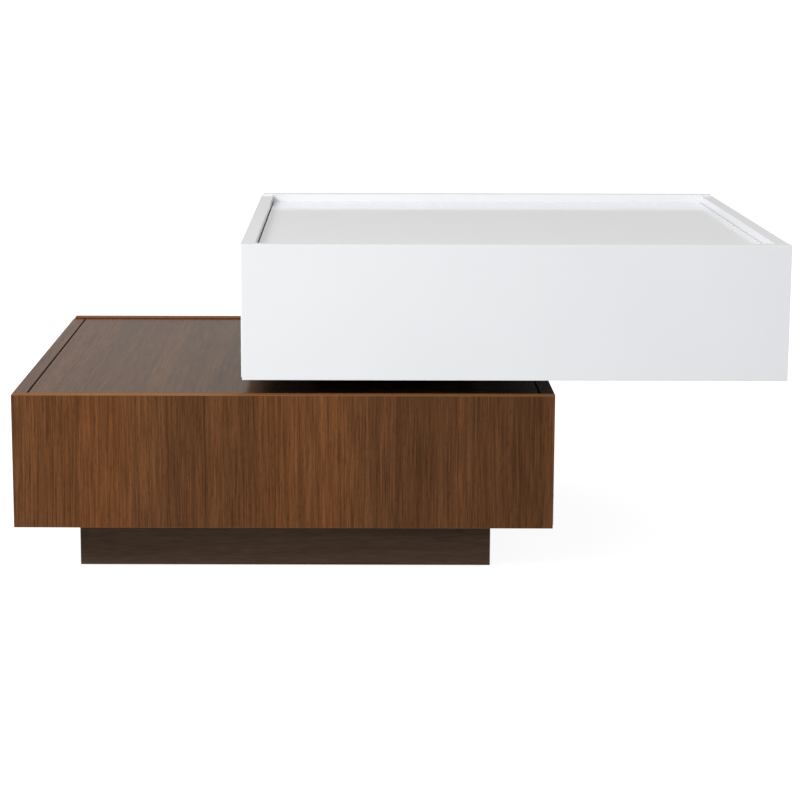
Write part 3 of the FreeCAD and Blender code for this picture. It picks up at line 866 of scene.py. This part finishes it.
@dataclass
class Swivel:
    """The turntable between the boxes.

    Attributes:
        bolt_bore_mm: Radius of the hole round the pivot bolt.
        bush_bore_mm: Radius of the hole round its bush.
        rim_round_mm: Radius of the spacers' rims.
    """

    bolt_bore_mm: float = 5.05
    bush_bore_mm: float = 7.1
    rim_round_mm: float = 2.0

    def build(self) -> None:
        """Turns the spacers and finishes the plates, the balls and the pivot."""
        for level, body, bore in (("lower", "base", self.bolt_bore_mm),
                                  ("upper", "upper_box", self.bush_bore_mm)):
            Ring(f"swivel_{level}_spacer", body, "black_board", STAINED_BOARD_AND_PAINTED_SHADE, bore,
                 self.rim_round_mm).build()
            dress_nodes(POWDER_COAT, f"swivel_{level}_plate")
            dress_nodes(SCREW_ZINC, f"swivel_{level}_screws")
        dress_nodes(SCREW_ZINC, "swivel_pivot_bolt", "swivel_pivot_nut")
        dress_nodes(NYLON, "swivel_bush", "swivel_ball_cage")
        dress_nodes(BALL_STEEL, "swivel_balls")


# Floor, light and camera

@dataclass
class Studio:
    """A plain pale floor under soft light.

    Attributes:
        floor_m: Side of the floor, which reaches past the picture's upper edge.
        floor_tone: The floor's own colour.
        floor_glow: What makes the floor white to the eye and to reflections, its lit colour added.
        low_tone: Colour of the soft light from near the horizon.
        high_tone: Its colour overhead.
        low_level: Its level at the horizon.
        high_level: Its level overhead.
        low_height: Height, 1 straight up, below which the light is that of the horizon.
        high_height: Height above which it is that overhead.
        key_place: Where the large soft lamp stands.
        key_aim: The point that it lights.
        key_size_m: Its side.
        key_watts: Its power.
        key_tone: Its colour.
    """

    floor_m: float = 600.0
    floor_tone: str = "#ADADAD"
    floor_glow: float = 0.9
    low_tone: str = "#FDFFF5"
    high_tone: str = "#F8F0FF"
    low_level: float = 0.63
    high_level: float = 0.64
    low_height: float = 0.1
    high_height: float = 0.6
    key_place: tuple[float, float, float] = (-2.5, -2.6, 2.5)
    key_aim: tuple[float, float, float] = (0.0, -0.2, 0.25)
    key_size_m: float = 1.8
    key_watts: float = 127.0
    key_tone: str = "#FCFFFD"

    def build(self) -> None:
        """Lays the floor and sets up the light."""
        self.lay_floor()
        self.light_sky()
        self.place_key()
        bpy.context.scene.view_settings.view_transform = "Standard"

    def lay_floor(self) -> None:
        """Lays the floor, white to the eye but no brighter than its own colour as a source of light."""
        bpy.ops.object.select_all(action="DESELECT")
        bpy.ops.mesh.primitive_plane_add(size=self.floor_m)
        floor = bpy.context.active_object
        floor.name = "floor"
        material = bpy.data.materials.new("pale_floor")
        material.use_nodes = True
        tree = material.node_tree
        tree.nodes.clear()
        rays = add_node(tree, "ShaderNodeLightPath").outputs
        seen = add_node(tree, "ShaderNodeMath", {"operation": "ADD"},
                        {0: rays["Is Camera Ray"], 1: rays["Is Glossy Ray"]})
        shown = add_node(tree, "ShaderNodeMath", {"operation": "ADD", "use_clamp": True},
                         {0: seen.outputs[0], 1: rays["Is Transmission Ray"]})
        level = add_node(tree, "ShaderNodeMath", {"operation": "MULTIPLY"},
                         {0: shown.outputs[0], 1: self.floor_glow})
        glow = add_node(tree, "ShaderNodeEmission", None, {"Strength": level.outputs[0]})
        matt = add_node(tree, "ShaderNodeBsdfDiffuse", None, {"Color": srgb(self.floor_tone)})
        both = add_node(tree, "ShaderNodeAddShader", None, {0: matt.outputs[0], 1: glow.outputs[0]})
        add_node(tree, "ShaderNodeOutputMaterial", None, {"Surface": both.outputs[0]})
        floor.data.materials.append(material)

    def light_sky(self) -> None:
        """Lights the scene softly from all round, a little cooler overhead."""
        world = bpy.data.worlds.new("soft_studio")
        world.use_nodes = True
        tree = world.node_tree
        background = tree.nodes["Background"]
        ray = add_node(tree, "ShaderNodeTexCoord").outputs["Generated"]
        height = add_node(tree, "ShaderNodeSeparateXYZ", None, {0: ray}).outputs["Z"]
        share = add_node(tree, "ShaderNodeMapRange", None,
                         {"Value": height, "From Min": self.low_height, "From Max": self.high_height})
        level = add_node(tree, "ShaderNodeMapRange", None,
                         {"Value": share.outputs[0], "To Min": self.low_level, "To Max": self.high_level})
        tone = add_node(tree, "ShaderNodeMix", {"data_type": "RGBA"},
                        {MIX_SHARE: share.outputs[0], MIX_FIRST: srgb(self.low_tone),
                         MIX_SECOND: srgb(self.high_tone)})
        tree.links.new(tone.outputs[MIX_RESULT], background.inputs["Color"])
        tree.links.new(level.outputs[0], background.inputs["Strength"])
        bpy.context.scene.world = world

    def place_key(self) -> None:
        """Sets the large soft lamp to the left, in front of the table."""
        lamp = bpy.data.lights.new("key_lamp", "AREA")
        lamp.shape = "SQUARE"
        lamp.size = self.key_size_m
        lamp.energy = self.key_watts
        lamp.color = srgb(self.key_tone)[:3]
        holder = bpy.data.objects.new("key_lamp", lamp)
        holder.location = self.key_place
        aim = Vector(self.key_aim) - Vector(self.key_place)
        holder.rotation_euler = aim.to_track_quat("-Z", "Y").to_euler()
        bpy.context.scene.collection.objects.link(holder)


@dataclass
class Viewpoint:
    """The camera at the photograph's viewing angle, solved from the corners of both boxes and the plinth.

    Attributes:
        place: Where it stands.
        yaw: Its turn to the right, in degrees.
        pitch: Its tilt down, in degrees.
        roll: Its lean, in degrees.
        lens_mm: Its focal length.
        sensor_mm: Width of its sensor.
        shift: Its sideways shift, because the photograph is cropped off its middle.
        reach_m: How far it sees, which takes in the whole floor.
    """

    place: tuple[float, float, float] = (-0.0526, -3.2438, 0.7727)
    yaw: float = -0.187
    pitch: float = 10.46
    roll: float = -0.084
    lens_mm: float = 103.587
    sensor_mm: float = 36.0
    shift: float = 0.0625
    reach_m: float = 1000.0

    def build(self) -> None:
        """Makes the camera and gives it to the scene."""
        yaw, pitch, roll = (math.radians(angle) for angle in (self.yaw, self.pitch, self.roll))
        ahead = Vector((math.sin(yaw) * math.cos(pitch), math.cos(yaw) * math.cos(pitch), -math.sin(pitch)))
        level = Vector((math.cos(yaw), -math.sin(yaw), 0.0))
        below = ahead.cross(level)
        right = level * math.cos(roll) + below * math.sin(roll)
        down = below * math.cos(roll) - level * math.sin(roll)
        lens = bpy.data.cameras.new("viewpoint")
        lens.sensor_width = self.sensor_mm
        lens.lens = self.lens_mm
        lens.shift_x = self.shift
        lens.clip_end = self.reach_m
        camera = bpy.data.objects.new("viewpoint", lens)
        turned = Matrix((right, -down, -ahead)).transposed().to_4x4()
        camera.matrix_world = Matrix.Translation(self.place) @ turned
        bpy.context.scene.collection.objects.link(camera)
        bpy.context.scene.camera = camera


def main() -> None:
    """Builds the studio and dresses the table, sub-assembly by sub-assembly."""
    logging.basicConfig(level=logging.INFO, format="%(message)s")
    Studio().build()
    Viewpoint().build()
    Plinth().build()
    # The lower top panel's edges are black so that the slots beside it read dark: painted shade.
    BoxCarcass("lower", "base", "walnut_laminate", WALNUT_UPRIGHT, WALNUT_DEEP_PAINTED_SHADE, STAINED_BOARD_AND_PAINTED_SHADE,
               WALNUT_BAND).build()
    Drawer("lower", "walnut_laminate", WALNUT_UPRIGHT, WALNUT_BAND).build()
    BoxCarcass("upper", "upper_box", "white_lacquer", LACQUER, LACQUER, LACQUER, LACQUER).build()
    Drawer("upper", "white_lacquer", LACQUER, LACQUER).build()
    Swivel().build()


if __name__ == "__main__":
    main()
